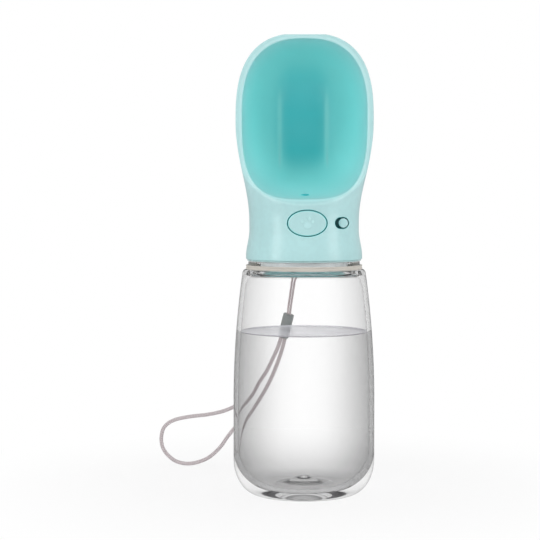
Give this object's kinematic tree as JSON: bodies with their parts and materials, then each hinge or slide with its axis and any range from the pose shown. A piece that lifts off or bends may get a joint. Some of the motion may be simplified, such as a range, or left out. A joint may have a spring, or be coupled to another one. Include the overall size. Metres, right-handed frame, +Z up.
{
  "type": "dog travel water bottle",
  "caption": "Clear bottle under a head with a scoop-shaped drinking trough, a push key with a valve, a sliding lock and a wrist strap.",
  "frame": {"origin": "centre of the bottle's foot, on the ground", "axes": "+Z up along the bottle's axis, -Y towards the side with the key and the trough's opening, +X to the right of someone who faces the key"},
  "size_m": [0.1113, 0.1146, 0.2238],
  "materials": {
    "clear_bottle": "clear polished",
    "mint_plastic": "satin",
    "teal_plastic": "satin",
    "white_plastic": "matt",
    "grey_silicone": "matt",
    "white_silicone": "matt",
    "steel": "bright",
    "grey_plastic": "satin",
    "strap_cord": "woven"
  },
  "bodies": {
    "bottle": {"bottle": "clear_bottle", "collar_ring": "grey_silicone"},
    "neck_washer": {"mouth_seal": "white_silicone"},
    "head": {"head_shell": "mint_plastic", "lid_insert": "teal_plastic", "key_guide": "white_plastic", "valve_housing": "white_plastic", "housing_cap": "white_plastic", "housing_screws": "steel", "inlet_seal": "white_silicone", "outlet_seal": "white_silicone", "rod_bush": "teal_plastic", "bush_seal": "white_silicone", "valve_spring": "steel", "lock_guide": "white_plastic", "strap_lug": "mint_plastic", "strap_string": "strap_cord", "strap_bead": "grey_plastic", "strap_loop": "strap_cord"},
    "key": {"water_key": "mint_plastic", "plunger_rod": "white_plastic", "valve_seal": "white_silicone", "spring_plate": "steel", "rod_clip": "steel"},
    "lock": {"lock_slider": "mint_plastic"}
  },
  "joints": [
    {"name": "head_lift", "type": "slide", "parent": "bottle", "child": "neck_washer", "axis": [0, 0, 1], "range_m": [0, 0.008]},
    {"name": "head_turn", "type": "hinge", "parent": "neck_washer", "child": "head", "pos_m": [0, 0, 0.12], "axis": [0, 0, 1], "range_deg": [0, 720]},
    {"name": "key_push", "type": "slide", "parent": "head", "child": "key", "axis": [0, 1, 0], "range_m": [0, 0.003], "stiffness_N_per_m": 300, "springref_m": -0.004, "deforming": ["valve_spring"]},
    {"name": "lock_slide", "type": "slide", "parent": "head", "child": "lock", "axis": [-1, 0, 0], "range_m": [0, 0.0015]}
  ],
  "couplings": [
    {"joint": "head_lift", "follows": "head_turn", "m_per_rad": 0.00063662}
  ]
}
